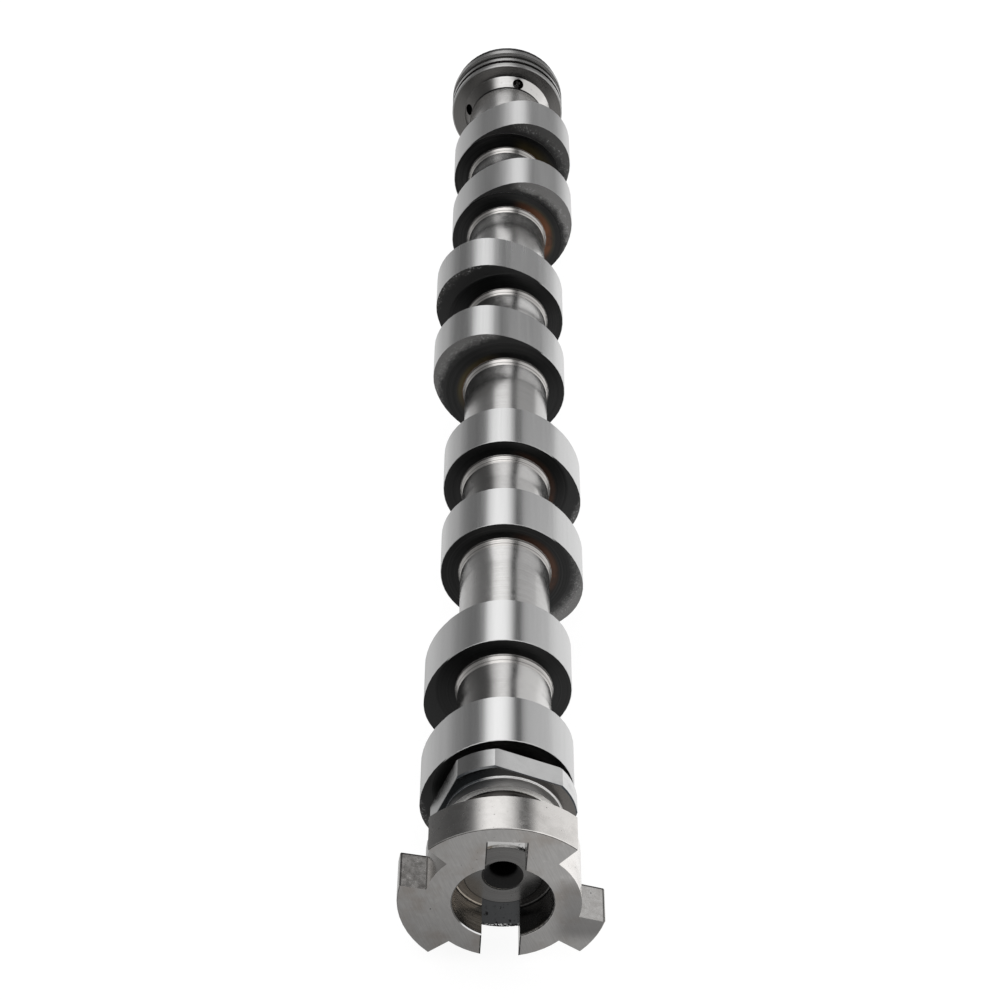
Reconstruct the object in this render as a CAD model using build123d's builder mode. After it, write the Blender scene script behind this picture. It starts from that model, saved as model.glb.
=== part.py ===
from build123d import *
from math import acos, cos, radians, sin, tan
import os

# Overhead camshaft for a four-cylinder engine, one solid piece of steel.
# It lies along +Y, from the trigger wheel at Y = 0 to the flange at the far end.
# +X is to the right and +Z is up, seen from the wheel end. Angles are seen from
# that end too, counter-clockwise from +X. Millimetres.

os.makedirs("parts", exist_ok=True)

# Driving dimensions: spacing along the shaft
bore_pitch = 91.0
valve_spacing = 40.0
first_lobe_start = 40.5
cylinders = 4

# Driving dimensions: shaft and lobe roots
journal_radius = 13.25
root_radius = 13.85
root_stand = 0.7
root_run = 2.2

# Driving dimensions: cam lobes
lobe_width = 17.0
base_radius = 19.15
lift = 6.35
nose_radius = 17.5
flank_radius = 28.0
first_nose_angle = 228.0
firing_step = -90.0
firing_place = (0, 3, 1, 2)
nose_relief = 0.3
nose_relief_radius = 19.4
lobe_edge = 0.15

# Driving dimensions: trigger wheel and its hub
rim_radius = 27.5
hub_radius = 20.35
wheel_width = 11.7
hub_length = 18.0
rim_edge = 0.3
gap_angles = ((-14.0, 46.0, 2.0), (135.0, 166.0, 3.0), (226.0, 316.0, 8.0))

# Driving dimensions: recess, drive slot and drilling in the wheel end
recess_radius = 13.3
recess_depth = 9.8
recess_edge = 0.3
floor_radius = 13.1
seat_radius = 10.5
seat_height = 0.5
slot_width = 10.0
slot_tilt = 2.6
slot_cutter_radius = 15.0
slot_reach = 8.3
centre_radius = 5.3
centre_angle = 60.0
gallery_radius = 2.8

# Driving dimensions: neck and wrench collar
ring_radius = 15.9
ring_width = 3.2
ring_fillet = 2.5
collar_start = 30.0
collar_width = 7.0
collar_radius = 19.85
flats = 4
across_flats = 34.6
flat_angle = 67.5
collar_edge = 0.4

# Driving dimensions: end journal, boss, flange and pilot
end_journal_gap = 3.5
end_journal_radius = 13.9
end_journal_width = 21.7
undercut_radius = 12.9
undercut_width = 0.9
boss_front_radius = 13.4
boss_rear_radius = 16.1
boss_width = 4.4
flange_radius = 20.75
flange_edge = 0.4
land_widths = (1.9, 1.6, 2.1)
seal_groove = (1.9, 1.0)
oil_groove_front = (2.6, 0.9)
oil_groove_rear = (1.4, 0.45)
pilot_radius = 20.0
pilot_length = 3.5
pilot_edge = 0.5

# Driving dimensions: holes of the far end
bolt_hole_radius = 5.1
bolt_hole_depth = 34.0
bolt_mouth = 0.9
dowel_radius = 2.5
dowel_depth = 9.0
dowel_circle = 13.0
dowel_angle = 270.0
oil_hole_radius = 2.05
oil_hole_setback = 2.0
oil_hole_depth = 7.0
oil_hole_angles = (74.0, 168.0)
oil_way_radius = 1.75
oil_way_circle = 10.0
oil_way_depth = 15.5

# Worked out from the driving dimensions
lobe_starts = [
    first_lobe_start + cylinder * bore_pitch + side * valve_spacing
    for cylinder in range(cylinders)
    for side in range(2)
]
nose_offset = base_radius + lift - nose_radius
collar_end = collar_start + collar_width
end_journal_start = lobe_starts[-1] + lobe_width + end_journal_gap
end_journal_end = end_journal_start + end_journal_width
boss_start = end_journal_end + undercut_width
boss_slope = (boss_rear_radius - boss_front_radius) / boss_width
flange_start = boss_start + boss_width
flange_width = sum(land_widths) + seal_groove[0] + oil_groove_front[0] + oil_groove_rear[0]
pilot_start = flange_start + flange_width
shaft_end = pilot_start + pilot_length
floor_depth = recess_depth + seat_height
cut_reach = 2 * rim_radius
same_radius = 0.001


def cross_plane(y, turn=0.0):
    """Plane across the shaft at y, facing the wheel end, its x turned up by turn degrees."""
    x_dir = (cos(radians(turn)), 0, sin(radians(turn)))
    return Plane(origin=(0, y, 0), x_dir=x_dir, z_dir=(0, -1, 0))


def circles(part, radius):
    """Circular edges of one radius, from the wheel end to the far end."""
    found = part.edges().filter_by(GeomType.CIRCLE).sort_by(Axis.Y)
    return [edge for edge in found if abs(edge.radius - radius) < same_radius]


def lobe_outline():
    """Outline of a lobe with its nose on local +X: base circle, two flanks and nose."""
    to_base = flank_radius - base_radius
    to_nose = flank_radius - nose_radius
    base_turn = acos((to_nose**2 - nose_offset**2 - to_base**2) / (2 * nose_offset * to_base))
    nose_turn = acos((nose_offset**2 + to_nose**2 - to_base**2) / (2 * nose_offset * to_nose))
    middle = (base_turn + nose_turn) / 2
    base_point = (base_radius * cos(base_turn), base_radius * sin(base_turn))
    nose_point = (nose_offset + nose_radius * cos(nose_turn), nose_radius * sin(nose_turn))
    flank_point = (
        flank_radius * cos(middle) - to_base * cos(base_turn),
        flank_radius * sin(middle) - to_base * sin(base_turn),
    )
    with BuildLine() as outline:
        ThreePointArc(base_point, (-base_radius, 0), (base_point[0], -base_point[1]))
        ThreePointArc(
            (base_point[0], -base_point[1]),
            (flank_point[0], -flank_point[1]),
            (nose_point[0], -nose_point[1]),
        )
        ThreePointArc(
            (nose_point[0], -nose_point[1]), (nose_offset + nose_radius, 0), nose_point
        )
        ThreePointArc(nose_point, flank_point, base_point)
    return outline.edges()


def gap_outline(start_angle, end_angle, opening):
    """Outline of the space between two teeth, with flanks that open outwards."""
    points = []
    for angle, turn in ((start_angle, -opening), (end_angle, opening)):
        foot = (hub_radius * cos(radians(angle)), hub_radius * sin(radians(angle)))
        out = radians(angle + turn)
        points.append((foot, (foot[0] + cut_reach * cos(out), foot[1] + cut_reach * sin(out))))
    (start_foot, start_out), (end_foot, end_out) = points
    with BuildLine() as outline:
        Polyline((0, 0), start_foot, start_out, end_out, end_foot, close=True)
    return outline.edges()


# Turned blank: hub, neck, wrench collar and shaft
turned = [
    (journal_radius, 0, end_journal_start),
    (hub_radius, 0, hub_length),
    (ring_radius, collar_start - ring_width, collar_start),
    (collar_radius, collar_start, collar_end),
    (end_journal_radius, end_journal_start, end_journal_end),
    (undercut_radius, end_journal_end, boss_start),
]

with BuildPart() as blank:
    for radius, start, end in turned:
        with BuildSketch(cross_plane(start)):
            Circle(radius)
        extrude(amount=start - end)

    # Concave corner where the neck meets the ring, and the outer edges of the collar
    fillet(circles(blank, journal_radius)[1], radius=ring_fillet)
    chamfer(circles(blank, collar_radius), length=collar_edge)

    # Low ring at the root of each lobe, sloping down to the shaft on both sides
    for start in lobe_starts:
        ring_start = start - root_stand
        ring_end = start + lobe_width + root_stand
        with BuildSketch(Plane.XY):
            with BuildLine():
                Polyline(
                    (0, ring_start - root_run),
                    (journal_radius, ring_start - root_run),
                    (root_radius, ring_start),
                    (root_radius, ring_end),
                    (journal_radius, ring_end + root_run),
                    (0, ring_end + root_run),
                    close=True,
                )
            make_face()
        revolve(axis=Axis.Y)

# Far end: conical boss, grooved flange and pilot
with BuildPart() as far_end:
    with BuildSketch(Plane.XY):
        with BuildLine():
            Polyline(
                (0, boss_start),
                (boss_front_radius, boss_start),
                (boss_rear_radius, flange_start),
                (flange_radius, flange_start),
                (flange_radius, pilot_start),
                (pilot_radius, pilot_start),
                (pilot_radius, shaft_end),
                (0, shaft_end),
                close=True,
            )
        make_face()
    revolve(axis=Axis.Y)
    chamfer(circles(far_end, flange_radius)[0], length=flange_edge)
    chamfer(circles(far_end, pilot_radius)[-1], length=pilot_edge)

    # Seal groove, then the oil groove with its two floors
    groove_start = flange_start + land_widths[0]
    for width, depth, land in (
        (seal_groove[0], seal_groove[1], land_widths[1]),
        (oil_groove_front[0], oil_groove_front[1], 0.0),
        (oil_groove_rear[0], oil_groove_rear[1], land_widths[2]),
    ):
        with BuildSketch(cross_plane(groove_start)):
            Circle(2 * flange_radius)
            Circle(flange_radius - depth, mode=Mode.SUBTRACT)
        extrude(amount=-width, mode=Mode.SUBTRACT)
        groove_start += width + land

# Toothed rim of the trigger wheel
with BuildPart() as rim:
    with BuildSketch(cross_plane(0)):
        Circle(rim_radius)
        for gap in gap_angles:
            make_face(gap_outline(*gap), mode=Mode.SUBTRACT)
        Circle(hub_radius)
    extrude(amount=-wheel_width)
    chamfer(circles(rim, rim_radius), length=rim_edge)

# Drive slot: a disc cutter fed in from below, past the axis, leaves a curved run-out
with BuildPart() as slot:
    with BuildSketch(Plane.YZ.offset(-slot_width / 2)):
        with Locations((floor_depth - slot_cutter_radius, slot_reach)):
            Circle(slot_cutter_radius)
        with Locations((floor_depth - slot_cutter_radius, slot_reach - cut_reach / 2)):
            Rectangle(2 * slot_cutter_radius, cut_reach)
    extrude(amount=slot_width)

# Ground lobes, in pairs with a bearing journal inside each pair
lobes = []
for number, start in enumerate(lobe_starts):
    nose_angle = first_nose_angle + firing_step * firing_place[number // 2]
    with BuildPart() as lobe:
        with BuildSketch(cross_plane(start, nose_angle)):
            make_face(lobe_outline())
        extrude(amount=-lobe_width)
        chamfer(lobe.edges().group_by(Axis.Y)[0], length=lobe_edge)
        chamfer(lobe.edges().group_by(Axis.Y)[-1], length=lobe_edge)
        # The nose stands back a little from the faced ring round the root
        for face_y, cut in ((start, -nose_relief), (start + lobe_width, nose_relief)):
            with BuildSketch(cross_plane(face_y)):
                Circle(2 * base_radius)
                Circle(nose_relief_radius, mode=Mode.SUBTRACT)
            extrude(amount=cut, mode=Mode.SUBTRACT)
    lobes.append(lobe.part)

# Whole camshaft, with everything that is milled or drilled into it
with BuildPart() as camshaft:
    add(blank.part)
    add(far_end.part)
    add(rim.part)

    for lobe_part in lobes:
        add(lobe_part)

    # Four wrench flats milled on the round collar
    for flat in range(flats):
        with BuildSketch(cross_plane(collar_start, flat_angle + 360 / flats * flat)):
            with Locations((across_flats / 2 + collar_radius / 2, 0)):
                Rectangle(collar_radius, 2 * collar_radius)
        extrude(amount=-collar_width, mode=Mode.SUBTRACT)

    # Round recess and the slot across it, then the raised seat on their common floor
    with BuildSketch(cross_plane(0)):
        Circle(recess_radius)
    extrude(amount=-recess_depth, mode=Mode.SUBTRACT)
    chamfer(circles(camshaft, recess_radius)[0], length=recess_edge)
    with BuildSketch(cross_plane(recess_depth)):
        Circle(floor_radius)
    extrude(amount=-seat_height, mode=Mode.SUBTRACT)
    add(slot.part.rotate(Axis.Y, slot_tilt), mode=Mode.SUBTRACT)
    with BuildSketch(cross_plane(floor_depth)):
        Circle(seat_radius)
    extrude(amount=seat_height)

    # Turning centre and the oil gallery that runs on to the bolt hole
    cone_length = (centre_radius - gallery_radius) / tan(radians(centre_angle / 2))
    with BuildSketch(Plane.XY):
        with BuildLine():
            Polyline(
                (0, recess_depth),
                (centre_radius, recess_depth),
                (gallery_radius, recess_depth + cone_length),
                (gallery_radius, shaft_end - bolt_hole_depth),
                (bolt_hole_radius, shaft_end - bolt_hole_depth),
                (bolt_hole_radius, shaft_end - bolt_mouth),
                (bolt_hole_radius + bolt_mouth, shaft_end),
                (0, shaft_end),
                close=True,
            )
        make_face()
    revolve(axis=Axis.Y, mode=Mode.SUBTRACT)

    # Dowel hole of the far end
    with BuildSketch(cross_plane(shaft_end)):
        with PolarLocations(dowel_circle, 1, start_angle=dowel_angle):
            Circle(dowel_radius)
    extrude(amount=dowel_depth, mode=Mode.SUBTRACT)

    # Oil holes drilled square to the boss, each meeting an oil way from the far end
    for angle in oil_hole_angles:
        entry_radius = boss_front_radius + boss_slope * oil_hole_setback
        entry_y = boss_start + oil_hole_setback
        across = (cos(radians(angle)), sin(radians(angle)))
        entry = (entry_radius * across[0], entry_y, entry_radius * across[1])
        outward = (across[0], -boss_slope, across[1])
        with BuildSketch(Plane(origin=entry, z_dir=outward).offset(oil_hole_radius)):
            Circle(oil_hole_radius)
        extrude(amount=-oil_hole_depth - oil_hole_radius, mode=Mode.SUBTRACT)
        with BuildSketch(cross_plane(shaft_end)):
            with PolarLocations(oil_way_circle, 1, start_angle=angle):
                Circle(oil_way_radius)
        extrude(amount=oil_way_depth, mode=Mode.SUBTRACT)

camshaft.part.label = "camshaft"
export_step(camshaft.part, "parts/camshaft.step")
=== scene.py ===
import math
from types import SimpleNamespace

import bpy
from mathutils import Matrix, Vector


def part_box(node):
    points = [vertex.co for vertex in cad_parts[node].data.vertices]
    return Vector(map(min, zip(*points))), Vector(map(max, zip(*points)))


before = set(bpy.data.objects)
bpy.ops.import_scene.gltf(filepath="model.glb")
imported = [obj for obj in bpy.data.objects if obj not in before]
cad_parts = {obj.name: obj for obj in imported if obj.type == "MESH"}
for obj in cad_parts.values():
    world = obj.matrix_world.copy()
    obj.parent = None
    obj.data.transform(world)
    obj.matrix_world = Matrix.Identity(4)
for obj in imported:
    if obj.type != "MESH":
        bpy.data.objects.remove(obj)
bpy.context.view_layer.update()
shaft_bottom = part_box("camshaft")[0].z
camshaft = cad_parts["camshaft"]
MM = 0.001

# Camera at the photograph's angle, fitted to the shaft's stations, in degrees, mm and pixels
CAMERA_PITCH, CAMERA_YAW, CAMERA_ROLL = 38.623, 0.028, 0.394
CAMERA_PLACE = (-1.28, -455.947, 497.297)
FOCAL_PIXELS, PICTURE_PIXELS, SENSOR_WIDTH = 2586.327, 1000, 36

# Stretches along the shaft as in the CAD, in mm from the wheel's front face
WHEEL_END = (25.0, 23.5)
TOOTH_END = (12.1, 11.9)
SEAT_LEVEL = (9.9, 10.1)
SLOT = (0.3, 10.6)
NECK = (17.5, 38.5)
NECK_ROOT = (18.1, 27.2)
RING = (26.3, 29.95)
COLLAR = (29.9, 37.1)
COLLAR_FRONT = (28.5, 31.0)
LOBES = (37.3, 374.0)
JOURNAL_END = 395.75
CONE_START, CONE_END = 397.15, 401.1
FLANGE_START, FLANGE_SHOULDER = 400.93, 401.0
GROOVES = (403.0, 410.3)
# End of the two near pairs, whose journals get painted shade on the left and a painted reflection
# on the right, and start of the far part that gets a painted reflection on the right
NEAR_PAIRS_END = (195.0, 185.0)
FAR_SHAFT = (236.0, 240.0)

# Front faces of the first pair of lobes: place of the first, distance from it to the second, and
# distance to the next pair
FIRST_FACE, SECOND_FACE, PAIR_PITCH = 40.5, 40.0, 91.0
# Root rings in front of those faces, and the steps on them
ROOT_RING = (-0.1, 2.95)
ROOT_STEPS = ((0.45, 0.75), (1.9, 2.1))
# How far from a shoulder the shaft begins to rise: in front of the lobes, and of the flange
LOBE_RISE, FLANGE_RISE = 10.0, 13.0

# Outline of the lobes, the angle of each pair's noses from +X towards +Z, and where the first
# pair's angle begins to hold
BASE_RADIUS, NOSE_RADIUS, FLANK_RADIUS, NOSE_OFFSET = 19.15, 17.5, 28.0, 8.0
NOSE_ANGLES = (228.0, -42.0, 138.0, 48.0)
ANGLES_START = 30.0

# Radius, place and slope of the cone's foot, and the middles of its oil holes
CONE_RADIUS, CONE_FOOT, CONE_SLOPE = 13.4, 396.6, 2.7 / 4.4
OIL_HOLES = ((4.03, 398.6, 14.06), (-14.31, 398.6, 3.04))

# Turn of the drive slot from upright, and of the milling marks, in degrees
SLOT_TURN, MILLING_TURN = 2.6, 20

# Where the front faces of the lobes are worn bright: y of the face, side, inner radius, softness,
# level
WORN_BANDS = (
    (40.5, -1, 23.0, 1.0, 0.10),
    (131.5, 1, 21.7, 2.0, 0.27),
    (171.5, 1, 23.5, 0.9, 0.16),
    (222.5, -1, 21.7, 1.4, 0.26),
    (262.5, -1, 23.6, 0.8, 0.10),
    (313.5, 1, 20.9, 0.9, 0.28),
    (353.5, 1, 21.2, 1.5, 0.15),
)
# Heat tints round the roots: y of the face, side, height of full tint, outer radius, radius where
# brown turns golden, strength
HEAT_TINTS = (
    (131.5, 1, -3.0, 16.6, 17.0, 0.35),
    (171.5, 1, -3.0, 16.2, 17.0, 0.30),
    (222.5, -1, 4.0, 16.4, 14.0, 0.55),
    (313.5, 1, -2.0, 17.6, 16.2, 0.8),
    (353.5, 1, 8.0, 18.4, 14.0, 1.0),
)
HEAT_BROWN, HEAT_GOLD = (0.17, 0.075, 0.04, 1), (0.11, 0.088, 0.04, 1)

# Brightness of the floor as the steel mirrors it, against x in metres, at the shaft's near end and
# along the rest of it
FLOOR_NEAR_END = (
    (-0.30, 0.40), (-0.11, 0.43), (-0.06, 0.54), (-0.038, 0.62), (-0.030, 0.52), (-0.010, 0.60),
    (0.006, 0.80), (0.017, 0.92), (0.030, 0.90), (0.038, 0.95), (0.30, 0.92),
)
FLOOR_FAR_END = (
    (-0.30, 0.40), (-0.11, 0.43), (-0.06, 0.57), (-0.038, 0.72), (-0.030, 0.66), (-0.010, 0.78),
    (0.006, 0.86), (0.017, 0.94), (0.030, 0.93), (0.038, 0.96), (0.30, 0.90),
)
# A darker patch of it far to the right: its level, and the slope of its edge
PATCH_LEVEL, PATCH_SLOPE = 0.36, 1.385
# The floor's paint, its glow to the camera, the glow's share of its surface where rays see it, and
# the surroundings' level in diffuse light
FLOOR_PAINT, FLOOR_GLOW, GLOW_SHARE, AMBIENT = 0.92, 1.10, 0.80, 0.9
# Brightness of the studio cards against the angle round the shaft, from straight up towards the
# right, high up and towards the far end's horizon
CARDS_HIGH = (
    (-112, 0.46), (-88, 0.36), (-74, 0.26), (-60, 0.19), (-44, 0.19), (-35, 0.34), (-27, 1.20),
    (-14, 1.46), (2, 1.36), (9, 1.05), (15, 0.50), (18, 0.06), (27, 0.06), (31, 0.50),
    (40, 0.64), (82, 0.72), (90, 0.85),
)
CARDS_LOW = (
    (-112, 0.42), (-88, 0.36), (-74, 0.20), (-60, 0.17), (-44, 0.20), (-36, 0.28), (-27, 0.86),
    (-14, 1.04), (2, 1.00), (9, 0.76), (15, 0.44), (18, 0.22), (27, 0.22), (31, 0.30),
    (40, 0.34), (82, 0.24), (90, 0.24),
)
# Middle of the studio, how far off its cards and lamp stand, and how finely the cards are drawn
CENTRE = Vector((0, 0.205, 0))
CARD_DISTANCE, LAMP_DISTANCE = 2.0, 1.9
CARD_STEPS = 48

# Range that most values of a noise lie in
SPREAD = (0.3, 0.7)
# Sockets of the mix node for each type of value: both inputs and the output
MIX_SOCKETS = {"FLOAT": (2, 3, 0), "VECTOR": (4, 5, 1), "RGBA": (6, 7, 2)}


def grey(value, warm=0.0):
    """Grey of that level, with that share more red and less blue."""
    return (value * (1 + warm), value, value * (1 - warm), 1)


class Nodes:
    """Builds a node tree out of sockets and plain values."""

    def __init__(self, tree):
        self.tree = tree
        tree.nodes.clear()

    def new(self, kind, **settings):
        node = self.tree.nodes.new(kind)
        for key, value in settings.items():
            setattr(node, key, value)
        return node

    def put(self, value, socket):
        if isinstance(value, bpy.types.NodeSocket):
            self.tree.links.new(value, socket)
        elif value is not None:
            socket.default_value = value

    def feed(self, node, *values):
        """Puts the values into the node's first inputs, and gives its first output."""
        for index, value in enumerate(values):
            self.put(value, node.inputs[index])
        return node.outputs[0]

    def feed_named(self, node, **values):
        """Puts the values into the inputs of those names, and gives the node's first output."""
        for key, value in values.items():
            self.put(value, node.inputs[key])
        return node.outputs[0]

    def end(self, kind, shader):
        """Ends the tree with the shader in an output node of that kind."""
        self.put(shader, self.new(kind).inputs[0])

    def math(self, operation, *values, clamp=False):
        return self.feed(self.new("ShaderNodeMath", operation=operation, use_clamp=clamp), *values)

    def add(self, *values):
        total = values[0]
        for value in values[1:]:
            total = self.math("ADD", total, value)
        return total

    def minus(self, a, b):
        return self.math("SUBTRACT", a, b)

    def times(self, *values):
        total = values[0]
        for value in values[1:]:
            total = self.math("MULTIPLY", total, value)
        return total

    def both(self, *masks):
        """Where all the masks hold."""
        return self.times(*masks)

    def vector(self, operation, *values):
        node = self.new("ShaderNodeVectorMath", operation=operation)
        self.feed(node, *values)
        return node.outputs["Value" if operation == "DISTANCE" else "Vector"]

    def join(self, *values):
        return self.feed(self.new("ShaderNodeCombineXYZ"), *values)

    def split(self, vector):
        node = self.new("ShaderNodeSeparateXYZ")
        self.put(vector, node.inputs[0])
        return node.outputs

    def place(self):
        return self.new("ShaderNodeTexCoord").outputs["Object"]

    def ramp(self, value, start, end, low=0.0, high=1.0):
        """Runs smoothly from low at start to high at end, which may be the smaller of the two."""
        node = self.new("ShaderNodeMapRange", interpolation_type="SMOOTHSTEP")
        return self.feed(node, value, start, end, low, high)

    def window(self, value, start, end, edge=0.1):
        """1 between start and end, 0 outside, softened over edge to either side of them."""
        rise = self.ramp(value, start - edge, start + edge)
        return self.times(rise, self.ramp(value, end + edge, end - edge))

    def curve(self, value, stops, top=1.0):
        """Level that follows stops of value and level, none of them above top."""
        first, last = stops[0][0], stops[-1][0]
        node = self.new("ShaderNodeValToRGB")
        level = self.feed(node, self.feed(self.new("ShaderNodeMapRange"), value, first, last))
        points = node.color_ramp.elements
        points[0].color = grey(stops[0][1] / top)
        points[1].color = grey(stops[-1][1] / top)
        for at, height in stops[1:-1]:
            points.new((at - first) / (last - first)).color = grey(height / top)
        return self.times(level, top)

    def noise(self, vector, scale, detail, rough, stretch=None):
        """Noise of that scale, which stretch multiplies along each axis."""
        if stretch:
            vector = self.vector("MULTIPLY", vector, stretch)
        node = self.new("ShaderNodeTexNoise")
        return self.feed_named(node, Vector=vector, Scale=scale, Detail=detail, Roughness=rough)

    def mixed(self, kind, factor, a, b):
        node = self.new("ShaderNodeMix", data_type=kind)
        first, second, output = MIX_SOCKETS[kind]
        for index, value in ((0, factor), (first, a), (second, b)):
            self.put(value, node.inputs[index])
        return node.outputs[output]

    def blend(self, factor, a, b):
        """Number a where factor is 0, b where it is 1."""
        return self.mixed("FLOAT", factor, a, b)

    def mix(self, factor, a, b):
        """Colour a where factor is 0, b where it is 1."""
        return self.mixed("RGBA", factor, a, b)

    def shift(self, value, start, end, a, b):
        """Colour a up to start, turning smoothly into b at end."""
        return self.mix(self.ramp(value, start, end), a, b)

    def layers(self, colour, *coats):
        """Colour with coats, each a mask and a colour, laid over it in turn."""
        for mask, coat in coats:
            colour = self.mix(mask, colour, coat)
        return colour

    def bump(self, height, strength, distance, normal):
        node = self.new("ShaderNodeBump")
        return self.feed_named(
            node, Height=height, Strength=strength, Distance=distance, Normal=normal)

    def seen_rays(self):
        """1 for rays from the camera and for mirror and clear rays."""
        path = self.new("ShaderNodeLightPath").outputs
        total = self.math("ADD", path["Is Camera Ray"], path["Is Glossy Ray"], clamp=True)
        return self.math("ADD", total, path["Is Transmission Ray"], clamp=True)


def new_material(name):
    """New material, and the builder of its empty tree."""
    material = bpy.data.materials.new(name)
    material.use_nodes = True
    return material, Nodes(material.node_tree)


# ---- Steel: ground, turned and milled, told apart by place along the shaft, radius and facing; the colours also hold painted light and shade

def shaft_place(n):
    """Where a point lies on the shaft, in mm, and which way its surface faces."""
    point = n.vector("SCALE", n.place(), None, None, 1 / MM)
    x, y, z = n.split(point)
    facing = n.split(n.new("ShaderNodeNewGeometry").outputs["True Normal"])
    tilt = n.math("ABSOLUTE", facing[1])
    end_face = n.ramp(tilt, 0.80, 0.9)
    turn = math.radians(SLOT_TURN)
    across_slot = n.minus(n.times(x, math.cos(turn)), n.times(z, math.sin(turn)))
    past_face = n.math("FLOORED_MODULO", n.minus(y, FIRST_FACE), PAIR_PITCH)
    return SimpleNamespace(
        point=point, x=x, y=y, z=z,
        radius=n.math("SQRT", n.add(n.times(x, x), n.times(z, z))),
        tilt=tilt, end_face=end_face, side_face=n.minus(1.0, end_face),
        aside=n.math("ABSOLUTE", across_slot),
        # Distances on to the front faces of this pair's second lobe and the next pair's first
        to_faces=(n.minus(SECOND_FACE, past_face), n.minus(PAIR_PITCH, past_face)),
    )


def shaft_zones(n, at):
    """Masks of the shaft's stretches and faces. Their edges are places and radii in mm, each given
    as where the mask is 0 and where it is 1."""
    x, y, z, radius, end_face, side_face = at.x, at.y, at.z, at.radius, at.end_face, at.side_face
    lobes = n.window(y, *LOBES)
    wheel = n.ramp(y, *WHEEL_END)
    wheel_front = n.ramp(y, 0.6, 0.3)
    inside = n.both(n.ramp(y, 0.4, 0.9), n.ramp(radius, 13.36, 13.31), wheel)
    inside_floor = n.both(inside, end_face)
    slot = n.both(n.ramp(at.aside, 5.06, 5.01), n.window(y, *SLOT),
                  n.ramp(radius, 10.44, 10.48), n.ramp(radius, 22.9, 22.8))
    before_faces = n.add(*(n.window(distance, *ROOT_RING, edge=0.05) for distance in at.to_faces))
    flange = n.ramp(y, FLANGE_START, FLANGE_START + 0.05)
    return SimpleNamespace(
        lobes=lobes,
        lobe_face=n.both(lobes, end_face, n.ramp(radius, 13.86, 13.92)),
        lobe_rim=n.both(lobes, side_face, n.ramp(radius, 18.2, 18.6)),
        nose=n.ramp(radius, 19.3, 19.5),
        root_ring=n.both(lobes, side_face, n.ramp(radius, 14.3, 14.1), before_faces),
        wheel=wheel,
        wheel_face=n.both(wheel_front, end_face),
        shaded_hub_side=n.both(n.ramp(radius, 20.6, 20.45), n.ramp(x, -8.0, -10.0), n.ramp(y, 12.2, 11.9)),
        tooth_side=n.both(n.ramp(y, *TOOTH_END), side_face,
                          n.window(radius, 20.6, 27.3, edge=0.05)),
        mouth=n.both(n.ramp(y, 0.45, 0.35), n.window(radius, 13.28, 13.65, edge=0.03),
                     n.ramp(y, 0.0, 0.06)),
        inside=inside,
        inside_floor=inside_floor,
        corner_highlight=n.both(inside_floor, n.ramp(y, *SEAT_LEVEL), n.ramp(radius, 12.80, 12.95)),
        seat=n.both(inside_floor, n.ramp(y, *reversed(SEAT_LEVEL))),
        centre=n.both(n.ramp(y, 9.75, 9.95), n.ramp(radius, 5.45, 5.3)),
        slot_low=n.both(slot, end_face, n.ramp(z, -8.5, -9.0)),
        slot_high=n.both(slot, n.ramp(z, 8.0, 8.5)),
        slot_edge=n.both(wheel_front, n.window(at.aside, 5.0, 5.35, edge=0.12),
                         n.ramp(z, 22.6, 22.2)),
        neck=n.window(y, *NECK, edge=0.5),
        neck_root=n.both(n.window(y, *NECK_ROOT), n.ramp(radius, 15.95, 15.85)),
        ring=n.both(n.window(y, *RING), side_face, n.ramp(radius, 15.5, 15.8)),
        collar_side=n.both(n.window(y, *COLLAR), side_face),
        collar_face=n.both(n.window(y, *COLLAR_FRONT, edge=0.2), end_face),
        journal_end=n.both(n.ramp(y, 395.1, 395.15), n.ramp(y, JOURNAL_END, JOURNAL_END - 0.05)),
        undercut=n.window(y, JOURNAL_END, CONE_START, edge=0.03),
        cone=n.window(y, CONE_START, CONE_END, edge=0.03),
        flange=flange,
        flange_face=n.both(flange, n.ramp(y, 401.6, 401.4), end_face),
        groove=n.both(n.window(y, *GROOVES), n.ramp(radius, 20.6, 20.5)),
        pilot=n.both(n.ramp(y, 412.5, 412.7), side_face),
        far_face=n.both(n.ramp(y, 415.4, 415.7), end_face),
    )


def fine_marks(n, at):
    """Rings left by turning and grinding, straight marks left by milling, and soft patterns."""
    slanted = n.new("ShaderNodeVectorRotate", rotation_type="Y_AXIS")
    slanted = n.feed_named(slanted, Vector=at.point, Angle=math.radians(MILLING_TURN))
    concentric = n.join(n.times(at.radius, 3.0), n.times(at.y, 0.05))
    return SimpleNamespace(
        axial=n.noise(at.point, 1.0, 2.0, 0.5, (0.015, 2.2, 0.015)),
        along=n.noise(at.point, 1.0, 3.0, 0.5, (0.9, 0.03, 0.9)),
        rings=n.noise(concentric, 1.0, 3.0, 0.6),
        milled=n.noise(slanted, 1.0, 3.0, 0.6, (3.0, 1.0, 0.2)),
        cloud=n.noise(at.point, 0.11, 4.0, 0.6),
        mottled=n.noise(at.point, 0.55, 5.0, 0.65),
        grain=n.noise(at.point, 5.0, 2.0, 0.5),
        speck=n.ramp(n.noise(at.point, 1.1, 2.0, 0.5), 0.71, 0.75),
        dirt=n.ramp(n.noise(at.point, 0.8, 4.0, 0.6), 0.60, 0.66),
        chips=n.ramp(n.noise(at.point, 1.7, 3.0, 0.6), 0.58, 0.63),
        swarf=n.ramp(n.noise(at.point, 2.2, 2.0, 0.6), 0.53, 0.60),
    )


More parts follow.
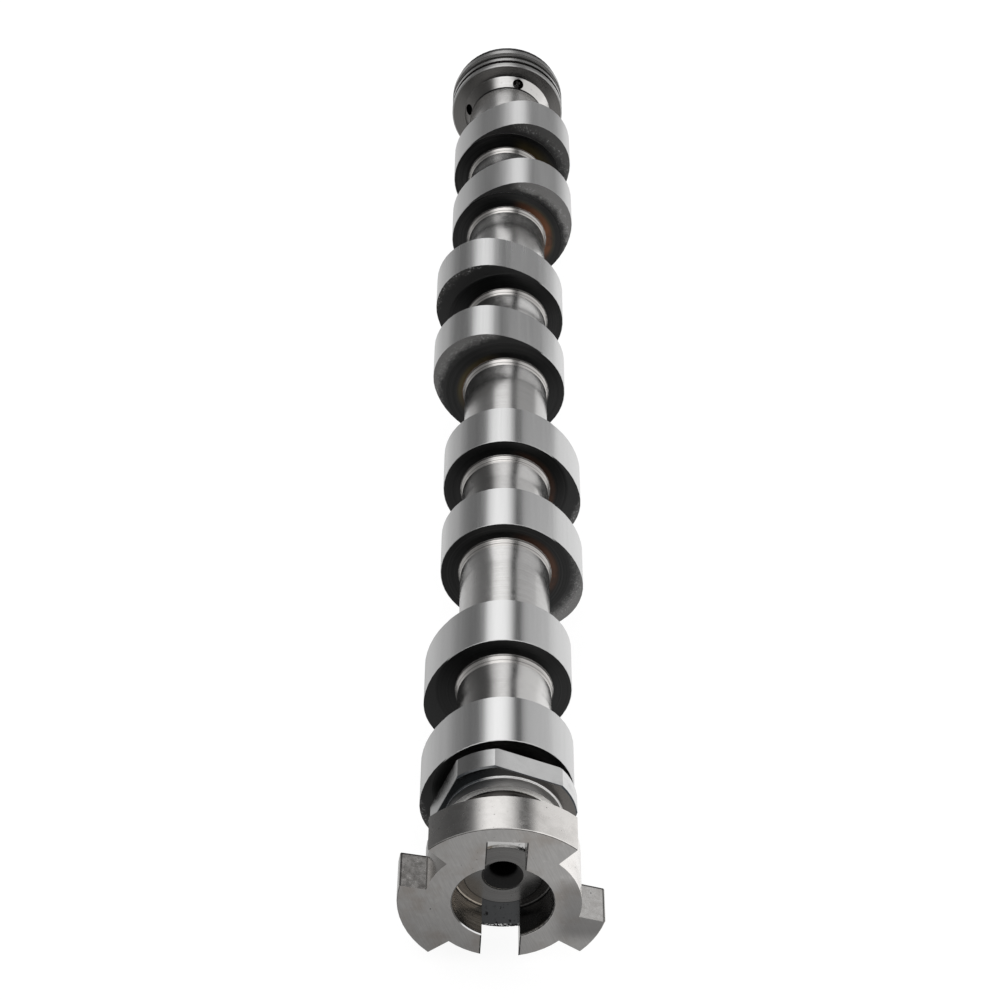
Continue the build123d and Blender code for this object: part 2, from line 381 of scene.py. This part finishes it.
def shaft_colour(n, at, zones, marks):
    """Turned shaft with stepped rings at the lobes' roots, and the ground rims of the lobes, with
    painted shade on the left and painted reflections on the right of the journals.
    """
    x, y = at.x, at.y
    in_pair = n.both(n.ramp(at.to_faces[0], -0.1, 0.1), n.ramp(y, *NEAR_PAIRS_END))
    steps = n.add(*(n.window(distance, *step)
                    for step in ROOT_STEPS for distance in at.to_faces))
    root = n.mix(n.times(steps, 0.75),
                 n.shift(marks.axial, *SPREAD, grey(0.50, 0.03), grey(0.66, 0.03)),
                 grey(0.12, 0.03))
    return n.layers(
        n.shift(marks.axial, 0.35, 0.65, grey(0.54, 0.015), grey(0.58, 0.01)),
        (n.ramp(marks.mottled, 0.62, 0.8, 0.0, 0.4), grey(0.40, 0.04)),
        # painted shade on the left of the near pairs' journals, painted reflection on their right
        (n.both(in_pair, n.ramp(x, 0.0, -5.0, 0.3, 1.0)), grey(0.25, 0.02)),
        (n.both(in_pair, n.ramp(x, 1.5, 4.0)), grey(0.74, 0.015)),
        # painted reflection on the right of the far part of the shaft
        (n.both(n.ramp(y, *FAR_SHAFT), n.ramp(x, 2.0, 5.0)), grey(0.90, 0.01)),
        (zones.root_ring, root),
        (zones.lobe_rim, n.shift(marks.along, *SPREAD, grey(0.60), grey(0.63))),
    )


def lobe_face_colour(n, at, zones, marks):
    """Dark turned faces, with worn bands and heat tints on the fronts of some."""
    ragged = n.add(at.radius, n.times(n.minus(marks.mottled, 0.5), 4.0),
                   n.times(n.minus(marks.grain, 0.5), 3.5))
    colour = n.layers(
        n.shift(marks.rings, *SPREAD, grey(0.022), grey(0.036)),
        (zones.nose, grey(0.045)),
    )
    for front, side, inner, soft, level in WORN_BANDS:
        band = n.both(n.window(at.y, front - 1, front + 1, edge=0.2),
                      n.ramp(n.times(at.x, side), 0.0, 6.0),
                      n.ramp(ragged, inner - soft, inner + soft))
        chipped = n.both(band, marks.chips, n.ramp(ragged, inner + 2.4, inner + 0.8))
        worn = n.shift(marks.grain, *SPREAD, grey(level * 0.5), grey(level, 0.02))
        colour = n.layers(colour, (band, worn), (chipped, grey(0.36)))
    for front, side, height, outer, gold, strength in HEAT_TINTS:
        tinted = n.both(n.window(at.y, front - 1, front + 1, edge=0.2),
                        n.ramp(n.times(at.x, side), 1.0, 7.0),
                        n.ramp(at.z, -11.0, height), n.ramp(at.radius, outer, 14.6),
                        n.ramp(marks.cloud, 0.30, 0.50, 0.4, 1.0), strength)
        heat = n.shift(at.radius, gold - 0.6, gold + 0.6, HEAT_BROWN, HEAT_GOLD)
        colour = n.mix(tinted, colour, heat)
    return colour


def milled_colour(n, marks):
    """Milled steel with brown clouds and paler spots."""
    return n.layers(
        n.shift(marks.milled, *SPREAD, grey(0.33, 0.02), grey(0.39, 0.02)),
        (n.ramp(marks.cloud, 0.45, 0.70, 0.0, 0.5), (0.27, 0.235, 0.205, 1)),
        (n.ramp(marks.mottled, 0.55, 0.75, 0.0, 0.35), grey(0.56, 0.02)),
    )


def wheel_colour(n, at, zones, marks, milled):
    """Rim, face and teeth of the trigger wheel, its recess and its drive slot, with painted
    highlights on their right sides and painted shade on the left, low down and deep in the recess.
    """
    x, y, z, radius = at.x, at.y, at.z, at.radius
    # painted reflections: the rim brighter on the right and darker on the left; its brown clouds
    # are stains
    rim = n.layers(
        n.shift(x, 6.0, 9.5, grey(0.58, 0.025), grey(0.95, 0.03)),
        (n.both(n.ramp(x, -4.0, -9.0), n.ramp(x, -26.0, -17.0, 0.25, 1.0)), grey(0.25, 0.02)),
        (n.ramp(marks.cloud, 0.45, 0.70, 0.0, 0.25), grey(0.40, 0.06)),
        # painted shade on the hub's side left of the teeth, darker lower down
        (zones.shaded_hub_side, n.shift(z, 2.0, 10.0, grey(0.11, 0.06), grey(0.22, 0.04))),
    )
    shade = n.add(
        n.ramp(n.add(z, n.times(x, 0.1)), -26.0, 24.0, 0.34, -0.16),
        n.both(n.ramp(x, 10.0, 18.0), n.ramp(z, -16.0, -10.0), n.ramp(z, 12.0, 4.0), 0.50),
    )
    tooth_back = n.math("ADD", n.ramp(radius, 26.7, 27.2), n.ramp(y, 11.0, 11.5), clamp=True)
    teeth = n.layers(
        n.shift(marks.mottled, 0.35, 0.65, grey(0.40, 0.04), grey(0.55, 0.03)),
        # painted light: the teeth paler on the right
        (n.ramp(x, 5.0, 10.0),
         n.shift(marks.mottled, 0.35, 0.65, grey(0.62, 0.03), grey(0.80, 0.02))),
        (tooth_back, grey(0.07, 0.04)),
    )
    # painted light on the recess's left wall; its right wall gets painted shade below
    lit_wall = n.shift(marks.axial, *SPREAD, (0.42, 0.38, 0.33, 1), (0.68, 0.62, 0.54, 1))
    # painted shade: the recess's floor and seat kept dark
    floor = n.shift(marks.rings, *SPREAD, grey(0.10, 0.05), grey(0.17, 0.05))
    seat = n.shift(
        at.aside, 3.6, 6.4,
        n.shift(marks.rings, *SPREAD, grey(0.12, 0.02), grey(0.15, 0.02)),
        n.shift(x, -4.0, 4.0, grey(0.14, 0.01), grey(0.15, 0.02)),
    )
    # painted shade along the seat's inner edge on the lower left
    seat_inner_shade = n.both(zones.seat, n.ramp(radius, 5.75, 5.6), n.ramp(n.add(x, z), 2.0, -1.0))
    # painted highlight on the recess mouth's lower left, painted shade on the rest of it
    mouth = n.mix(n.both(n.ramp(x, -3.0, -5.0), n.ramp(z, -7.0, -9.0)), grey(0.10, 0.03),
                  grey(0.85))
    return n.layers(
        rim,
        (zones.wheel_face, n.mix(shade, milled, grey(0.09, 0.02))),
        (zones.tooth_side, teeth),
        (zones.inside, n.shift(x, -2.0, 2.0, lit_wall, grey(0.05))),
        (zones.inside_floor, floor),
        (zones.seat, seat),
        # painted shadow round the seat's rim
        (n.both(zones.seat, n.ramp(radius, 10.2, 10.35)), grey(0.015)),
        (seat_inner_shade, grey(0.03)),
        # painted highlight in the corner between the recess's wall and floor
        (zones.corner_highlight, grey(0.60, 0.03)),
        # painted light on the slot's upper floor and painted shade on its lower one, each with real
        # dirt
        (zones.slot_high, n.mix(marks.dirt, grey(0.62, 0.01), grey(0.10, 0.03))),
        (zones.slot_low, n.mix(marks.dirt, grey(0.068, -0.03), grey(0.012))),
        (n.both(zones.slot_low, n.ramp(z, -19.1, -19.4)),
         n.mix(marks.swarf, grey(0.01), grey(0.9))),
        (n.both(zones.slot_edge, n.ramp(marks.mottled, 0.30, 0.45)), grey(0.02)),
        (zones.mouth, mouth),
        (n.both(marks.speck, 0.85), grey(0.04)),
    )


def add_neck_and_collar(n, at, zones, marks, colour):
    """Colour with the neck, the ring at its end and the collar laid over it, with painted shade on
    their left sides and on the neck, and painted highlights on their right sides, the ring's root
    and the neck's fillet.
    """
    x, y, radius = at.x, at.y, at.radius
    # painted shade on the collar's left flats, painted reflection on its right
    collar = n.layers(
        n.shift(x, -6.0, 2.0, grey(0.33), grey(0.74)),
        (n.ramp(y, 30.55, 30.35), grey(0.05, -0.12)),
    )
    # painted highlight along the collar face's root, right of the middle
    root_highlight = n.both(zones.collar_face, n.ramp(radius, 16.35, 16.25), n.ramp(x, -7.0, -2.0))
    # painted shade on the neck under the wheel, painted highlight on the fillet up to the ring
    root = n.layers(
        n.shift(radius, 13.4, 13.55, grey(0.32, 0.02), grey(0.05, 0.06)),
        (n.ramp(radius, 14.4, 14.6), grey(1.0, 0.01)),
    )
    # painted shade on the ring's left, and a painted highlight where it meets the collar
    ring = n.shift(y, 29.5, 29.65, n.shift(x, -6.0, 0.0, grey(0.17), grey(0.30, 0.02)),
                   grey(0.98))
    return n.layers(
        colour,
        (zones.collar_side, collar),
        (n.both(zones.neck, n.ramp(marks.cloud, 0.45, 0.75, 0.0, 0.35)), grey(0.35, 0.01)),
        # painted shade: the collar's face darker to the left
        (zones.collar_face, n.shift(x, -9.0, 6.0, grey(0.075, -0.08), grey(0.15, 0.03))),
        (root_highlight, grey(0.9, 0.01)),
        (zones.neck_root, root),
        (zones.ring, ring),
    )


def add_flange_end(n, at, zones, marks, milled, colour):
    """Colour with the last journal's end, the cone with its oil holes and the grooved flange laid
    over it, with a painted highlight on the journal's edge and the cone's right, and painted shade
    on the cone's left, in the undercut and in the oil holes."""
    slope_radius = n.add(CONE_RADIUS, n.times(n.minus(at.y, CONE_FOOT), CONE_SLOPE))
    on_slope = n.math("MAXIMUM", n.ramp(n.minus(at.radius, slope_radius), -0.12, -0.06),
                      n.ramp(at.y, CONE_FOOT + 0.05, CONE_FOOT))
    drilled = n.minus(1.0, on_slope)
    # painted shade: the oil holes black inside
    holes = ((n.both(n.ramp(n.vector("DISTANCE", at.point, hole), 9.0, 8.5), drilled), grey(0.0))
             for hole in OIL_HOLES)
    return n.layers(
        colour,
        # painted highlight on the right of the last journal's end
        (zones.journal_end, n.shift(at.x, -2.0, 1.0, grey(0.45), grey(1.0))),
        # painted shadow in the undercut
        (zones.undercut, grey(0.02)),
        # painted shade on the cone's left, painted highlight on its right
        (n.both(zones.cone, n.ramp(at.x, -2.5, -7.0)), grey(0.17, 0.03)),
        (n.both(zones.cone, n.ramp(at.x, 2.0, 5.0)), grey(0.85, 0.02)),
        *holes,
        (zones.flange, grey(0.42, 0.01)),
        (zones.flange_face, n.shift(marks.rings, *SPREAD, grey(0.13, 0.03), grey(0.17, 0.03))),
        (zones.groove, grey(0.13, 0.02)),
        (zones.pilot, grey(0.05)),
        (zones.far_face, milled),
    )


def steel_roughness(n, at, zones, marks):
    shaft = n.ramp(marks.mottled, *SPREAD, 0.18, 0.25)
    rough = n.blend(zones.lobe_rim, shaft, n.ramp(marks.along, *SPREAD, 0.20, 0.23))
    rough = n.add(rough, n.both(zones.lobe_rim, n.ramp(at.y, 190.0, 360.0, 0.0, 0.09)))
    for mask, level in (
        (zones.lobe_face, n.blend(zones.nose, 0.34, 0.55)),
        (zones.wheel, n.ramp(marks.mottled, *SPREAD, 0.20, 0.28)),
        (zones.wheel_face, 0.42),
        (zones.ring, 0.45),
        (n.both(zones.neck_root, n.ramp(at.radius, 14.3, 14.7)), 0.48),
        (zones.centre, 0.9),
        (zones.flange, 0.27),
    ):
        rough = n.blend(mask, rough, level)
    return rough


def lobe_normal(n, x, y, z):
    """Normal of the lobes' ground outline, made of base circle, nose and flanks that touch."""
    nose_x, nose_z = 0.0, 0.0
    for pair, angle in enumerate(NOSE_ANGLES):
        start = ANGLES_START + PAIR_PITCH * pair
        end = start + PAIR_PITCH
        here = n.both(n.ramp(y, start - 0.1, start + 0.1), n.ramp(y, end, end - 0.1))
        nose_x = n.add(nose_x, n.times(here, math.cos(math.radians(angle))))
        nose_z = n.add(nose_z, n.times(here, math.sin(math.radians(angle))))
    along = n.add(n.times(x, nose_x), n.times(z, nose_z))
    across = n.minus(n.times(z, nose_x), n.times(x, nose_z))
    aside = n.math("ABSOLUTE", across)

    # Angles from the nose at which base circle and flank meet, and flank and nose
    to_base, to_nose = FLANK_RADIUS - BASE_RADIUS, FLANK_RADIUS - NOSE_RADIUS
    base_turn = math.acos(
        (to_nose**2 - NOSE_OFFSET**2 - to_base**2) / (2 * NOSE_OFFSET * to_base))
    nose_turn = math.acos(
        (NOSE_OFFSET**2 + to_nose**2 - to_base**2) / (2 * NOSE_OFFSET * to_nose))
    past_nose = n.math("ARCTAN2", aside, n.minus(along, NOSE_OFFSET))
    on_nose = n.math("LESS_THAN", past_nose, nose_turn)
    on_base = n.math("GREATER_THAN", n.math("ARCTAN2", aside, along), base_turn)
    on_flank = n.math("SUBTRACT", 1.0, n.add(on_nose, on_base), clamp=True)

    # The normal points away from the centre of the arc
    centre_along = n.add(n.times(on_nose, NOSE_OFFSET),
                         n.times(on_flank, -to_base * math.cos(base_turn)))
    centre_aside = n.times(on_flank, -to_base * math.sin(base_turn))
    out_along = n.minus(along, centre_along)
    out_across = n.times(n.minus(aside, centre_aside), n.math("SIGN", across))
    return n.vector("NORMALIZE", n.join(
        n.minus(n.times(out_along, nose_x), n.times(out_across, nose_z)),
        None,
        n.add(n.times(out_along, nose_z), n.times(out_across, nose_x)),
    ))


def shoulder(n, distance, reach):
    """1 at a shoulder, falling to 0 at reach with a level end."""
    near = n.math("SUBTRACT", 1.0, n.math("DIVIDE", distance, reach), clamp=True)
    return n.times(near, near)


def steel_normal(n, at, zones, marks):
    """The surface's normal with the fine marks, and with a very slight rise of the shaft towards
    each shoulder, as ground with a dressed wheel."""
    height = n.add(
        n.both(marks.axial, at.side_face, n.blend(zones.lobe_rim, 0.5, 0.2)),
        n.both(marks.rings, zones.lobe_face, 1.2),
        n.both(marks.milled, zones.wheel_face, 2.5),
        n.times(marks.grain, n.blend(n.minus(zones.wheel, zones.inside), 0.05, 0.7)),
    )
    smooth = n.mixed("VECTOR", n.both(zones.lobe_rim, n.ramp(at.tilt, 0.3, 0.2)),
                     n.new("ShaderNodeNewGeometry").outputs["Normal"],
                     lobe_normal(n, at.x, at.y, at.z))
    marked = n.bump(height, strength=0.2, distance=0.02 * MM, normal=smooth)

    to_lobes = n.add(*(shoulder(n, distance, LOBE_RISE) for distance in at.to_faces))
    to_flange = shoulder(n, n.minus(FLANGE_SHOULDER, at.y), FLANGE_RISE)
    rise = n.add(n.both(to_lobes, zones.lobes),
                 n.both(to_flange, n.ramp(at.y, LOBES[1], LOBES[1] + 0.1), 0.6))
    rise = n.both(rise, at.side_face, n.ramp(at.radius, 16.3, 16.2))
    return n.bump(rise, strength=1.0, distance=2.0 * MM, normal=marked)


def steel_material():
    """One procedural steel for the whole shaft."""
    material, n = new_material("camshaft_steel")
    at = shaft_place(n)
    zones = shaft_zones(n, at)
    marks = fine_marks(n, at)
    milled = milled_colour(n, marks)
    colour = n.layers(
        shaft_colour(n, at, zones, marks),
        (zones.lobe_face, lobe_face_colour(n, at, zones, marks)),
        (zones.wheel, wheel_colour(n, at, zones, marks, milled)),
        # painted shade in the centre hole, darker deeper in
        (zones.centre, n.shift(at.y, 12.0, 13.2, grey(0.07), grey(0.003))),
    )
    colour = add_neck_and_collar(n, at, zones, marks, colour)
    colour = add_flange_end(n, at, zones, marks, milled, colour)
    shader = n.new("ShaderNodeBsdfPrincipled")
    shader.inputs["Metallic"].default_value = 1.0
    n.put(colour, shader.inputs["Base Color"])
    n.put(steel_roughness(n, at, zones, marks), shader.inputs["Roughness"])
    n.put(steel_normal(n, at, zones, marks), shader.inputs["Normal"])
    n.end("ShaderNodeOutputMaterial", shader.outputs[0])
    return material


# ---- Studio: camera, floor, white surroundings, cards and lamp

def make_camera():
    pitch, yaw, roll = (math.radians(v) for v in (CAMERA_PITCH, CAMERA_YAW, CAMERA_ROLL))
    forward = Vector((
        -math.sin(yaw) * math.cos(pitch),
        math.cos(yaw) * math.cos(pitch),
        -math.sin(pitch),
    ))
    right = Vector((math.cos(yaw), math.sin(yaw), 0))
    up = right.cross(forward)
    turned_right = right * math.cos(roll) + up * math.sin(roll)
    turned_up = up * math.cos(roll) - right * math.sin(roll)
    data = bpy.data.cameras.new("camera")
    data.sensor_width = SENSOR_WIDTH
    data.lens = FOCAL_PIXELS / PICTURE_PIXELS * SENSOR_WIDTH
    data.clip_start, data.clip_end = 0.01, 50
    camera = bpy.data.objects.new("camera", data)
    bpy.context.collection.objects.link(camera)
    turn = Matrix((turned_right, turned_up, -forward)).transposed().to_4x4()
    camera.matrix_world = Matrix.Translation(Vector(CAMERA_PLACE) * MM) @ turn
    bpy.context.scene.camera = camera


def make_floor():
    """White to the camera; the steel mirrors it with the brightness of a studio's surroundings."""
    bpy.ops.mesh.primitive_circle_add(vertices=96, radius=9, fill_type="NGON",
                                      location=(0, 0.2, shaft_bottom))
    floor = bpy.context.object
    floor.name = "floor"
    material, n = new_material("pale_floor")
    x, y, _ = n.split(n.place())
    mirrored = n.blend(n.ramp(y, -0.08, -0.035), n.curve(x, FLOOR_NEAR_END),
                       n.curve(x, FLOOR_FAR_END))
    # Only the four rear lobes mirror the patch, as its edge runs along their way of reflection
    behind = n.minus(y, n.times(x, PATCH_SLOPE))
    dark_patch = n.both(n.ramp(x, 0.05, 0.17), n.ramp(behind, -0.01, 0.015))
    mirrored = n.blend(dark_patch, mirrored, PATCH_LEVEL)
    to_camera = n.new("ShaderNodeLightPath").outputs["Is Camera Ray"]
    glow = n.new("ShaderNodeEmission")
    n.put(n.blend(to_camera, mirrored, FLOOR_GLOW), glow.inputs[1])
    paint = n.new("ShaderNodeBsdfDiffuse")
    paint.inputs[0].default_value = grey(FLOOR_PAINT)
    surface = n.feed(n.new("ShaderNodeMixShader"), n.times(n.seen_rays(), GLOW_SHARE),
                     paint.outputs[0], glow.outputs[0])
    n.end("ShaderNodeOutputMaterial", surface)
    floor.data.materials.append(material)


def make_world():
    """White surroundings, a little less bright in diffuse light."""
    world = bpy.data.worlds.new("studio")
    bpy.context.scene.world = world
    world.use_nodes = True
    n = Nodes(world.node_tree)
    back = n.new("ShaderNodeBackground")
    light = n.feed(back, (1, 1, 1, 1), n.blend(n.seen_rays(), AMBIENT, 1.0))
    n.end("ShaderNodeOutputWorld", light)


def direction(turn, lean):
    """Way from the studio's middle at turn degrees round the shaft, from straight up towards the
    right, and lean degrees away from the shaft's axis."""
    a, b = math.radians(turn), math.radians(lean)
    return Vector((math.sin(b) * math.sin(a), math.cos(b), math.sin(b) * math.cos(a)))


def make_cards(name, turn, lean):
    """Studio cards as one patch of a sphere, over those ranges of turn and lean."""
    points, faces = [], []
    for row in range(CARD_STEPS + 1):
        a = turn[0] + (turn[1] - turn[0]) * row / CARD_STEPS
        for column in range(CARD_STEPS + 1):
            b = lean[0] + (lean[1] - lean[0]) * column / CARD_STEPS
            points.append(CENTRE + direction(a, b) * CARD_DISTANCE)
    for row in range(CARD_STEPS):
        for column in range(CARD_STEPS):
            first = row * (CARD_STEPS + 1) + column
            after = first + CARD_STEPS + 1
            faces.append((first, first + 1, after + 1, after))
    mesh = bpy.data.meshes.new(name)
    mesh.from_pydata(points, [], faces)
    cards = bpy.data.objects.new(name, mesh)
    bpy.context.collection.objects.link(cards)
    material, n = new_material(name)
    x, y, z = n.split(n.place())
    around = n.math("DEGREES", n.math("ARCTAN2", x, z))
    along = n.math("DIVIDE", n.minus(y, CENTRE.y), CARD_DISTANCE)
    level = n.blend(n.ramp(along, 0.73, 0.84), n.curve(around, CARDS_HIGH, top=2.0),
                    n.curve(around, CARDS_LOW, top=2.0))
    glow = n.new("ShaderNodeEmission")
    n.put(level, glow.inputs[1])
    n.end("ShaderNodeOutputMaterial", glow.outputs[0])
    mesh.materials.append(material)
    cards.visible_camera = False
    cards.visible_diffuse = False
    cards.visible_shadow = False


def make_lamp(name, turn, lean, size, level):
    """Soft square lamp in that direction, as bright as level."""
    data = bpy.data.lights.new(name, "AREA")
    data.shape = "RECTANGLE"
    data.size, data.size_y = size, size
    data.energy = level * math.pi * size * size
    lamp = bpy.data.objects.new(name, data)
    bpy.context.collection.objects.link(lamp)
    way = direction(turn, lean)
    side = Vector((math.cos(math.radians(turn)), 0, -math.sin(math.radians(turn))))
    lamp.matrix_world = Matrix.Translation(CENTRE + way * LAMP_DISTANCE) @ Matrix(
        (side, way.cross(side), way)).transposed().to_4x4()
    lamp.visible_camera = False
    lamp.visible_glossy = False


make_camera()
for slot in camshaft.material_slots:
    slot.material = steel_material()
make_floor()
make_world()
make_lamp("soft_lamp", turn=-20, lean=70, size=1.4, level=0.5)
make_cards("studio_cards", turn=(-112, 90), lean=(6, 130))

bpy.context.scene.view_settings.view_transform = "Standard"
